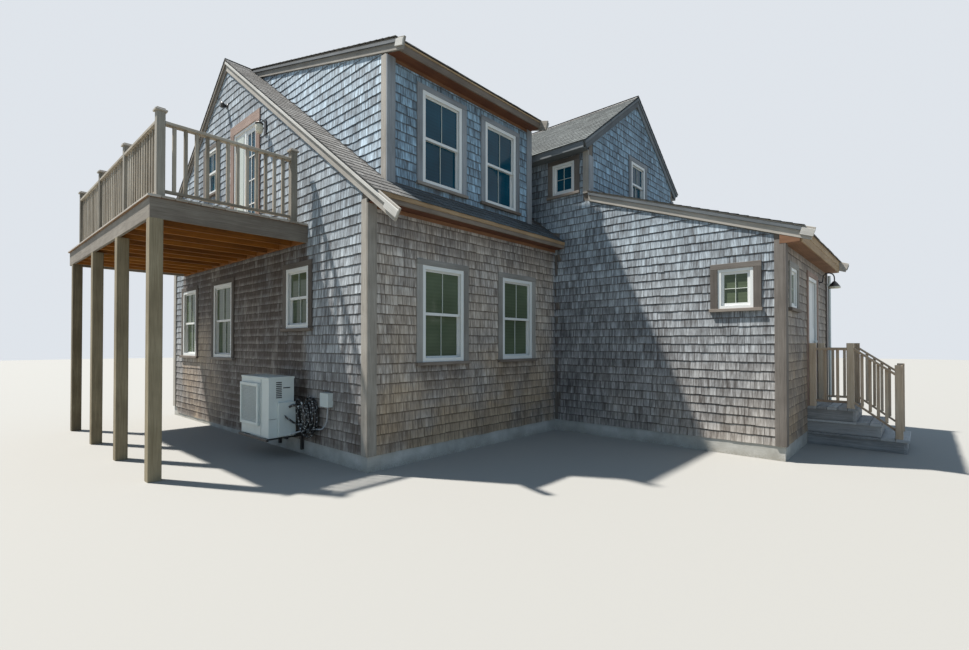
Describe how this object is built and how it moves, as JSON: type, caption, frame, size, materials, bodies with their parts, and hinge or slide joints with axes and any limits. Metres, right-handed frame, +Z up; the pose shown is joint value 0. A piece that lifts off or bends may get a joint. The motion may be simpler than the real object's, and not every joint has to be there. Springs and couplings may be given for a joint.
{
  "type": "beach house",
  "caption": "Shingled timber beach house with a shed dormer, a gabled wing, a lean-to entry with wooden steps and a raised side deck.",
  "frame": {"origin": "outer south-west corner of the main wing's foundation, on the level floor", "axes": "+X east along the main south front, +Y north along the west wall, +Z up"},
  "size_m": [10.12, 13.07, 6.8701],
  "materials": {
    "concrete": "plain cast concrete",
    "floor_wood": "bare floor boards",
    "wall_cedar": "weathered cedar shingles",
    "roof_shingle": "mineral-faced roof shingles",
    "trim_wood": "weathered cedar trim",
    "white_frame": "white vinyl and paint",
    "window_glass": "clear glazing",
    "deck_wood": "weathered treated timber",
    "cabinet_paint": "off-white enamel",
    "dark_metal": "black enamel"
  },
  "bodies": {
    "house": {"foundation": "concrete", "ground_floor": "floor_wood", "upper_floor": "floor_wood", "main_west_wall": "wall_cedar", "main_south_wall": "wall_cedar", "main_north_wall": "wall_cedar", "wing_west_wall": "wall_cedar", "wing_east_wall": "wall_cedar", "wing_gable_wall": "wall_cedar", "lean_to_wall_left": "wall_cedar", "lean_to_wall_right": "wall_cedar", "lean_to_wall_over_door": "wall_cedar", "dormer_front_wall": "wall_cedar", "dormer_side_walls": "wall_cedar", "main_roof_south": "roof_shingle", "main_roof_north": "roof_shingle", "dormer_roof": "roof_shingle", "wing_roof_west": "roof_shingle", "wing_roof_east": "roof_shingle", "lean_to_roof": "roof_shingle", "main_roof_trim": "trim_wood", "dormer_trim": "trim_wood", "wing_roof_trim": "trim_wood", "lean_to_trim": "trim_wood", "corner_boards": "trim_wood", "window_casings": "trim_wood", "window_frames": "white_frame", "window_glass": "window_glass", "deck_door": "white_frame", "entry_door_frame": "white_frame", "deck_posts": "deck_wood", "deck_rim": "deck_wood", "deck_joists": "deck_wood", "deck_boards": "deck_wood", "deck_rail_posts": "deck_wood", "deck_railing_west": "deck_wood", "deck_end_railings": "deck_wood", "entry_steps": "deck_wood", "entry_railing_left": "deck_wood", "entry_railing_right": "deck_wood", "condenser": "cabinet_paint", "condenser_fittings": "dark_metal", "wall_boxes": "cabinet_paint", "wall_lights": "dark_metal"},
    "entry_door": {"entry_door": "white_frame"}
  },
  "joints": [
    {"name": "entry_door_hinge", "type": "hinge", "parent": "house", "child": "entry_door", "pos_m": [5.925, -3.641, 1.642], "axis": [0, 0, 1], "range_deg": [0, 90]}
  ]
}
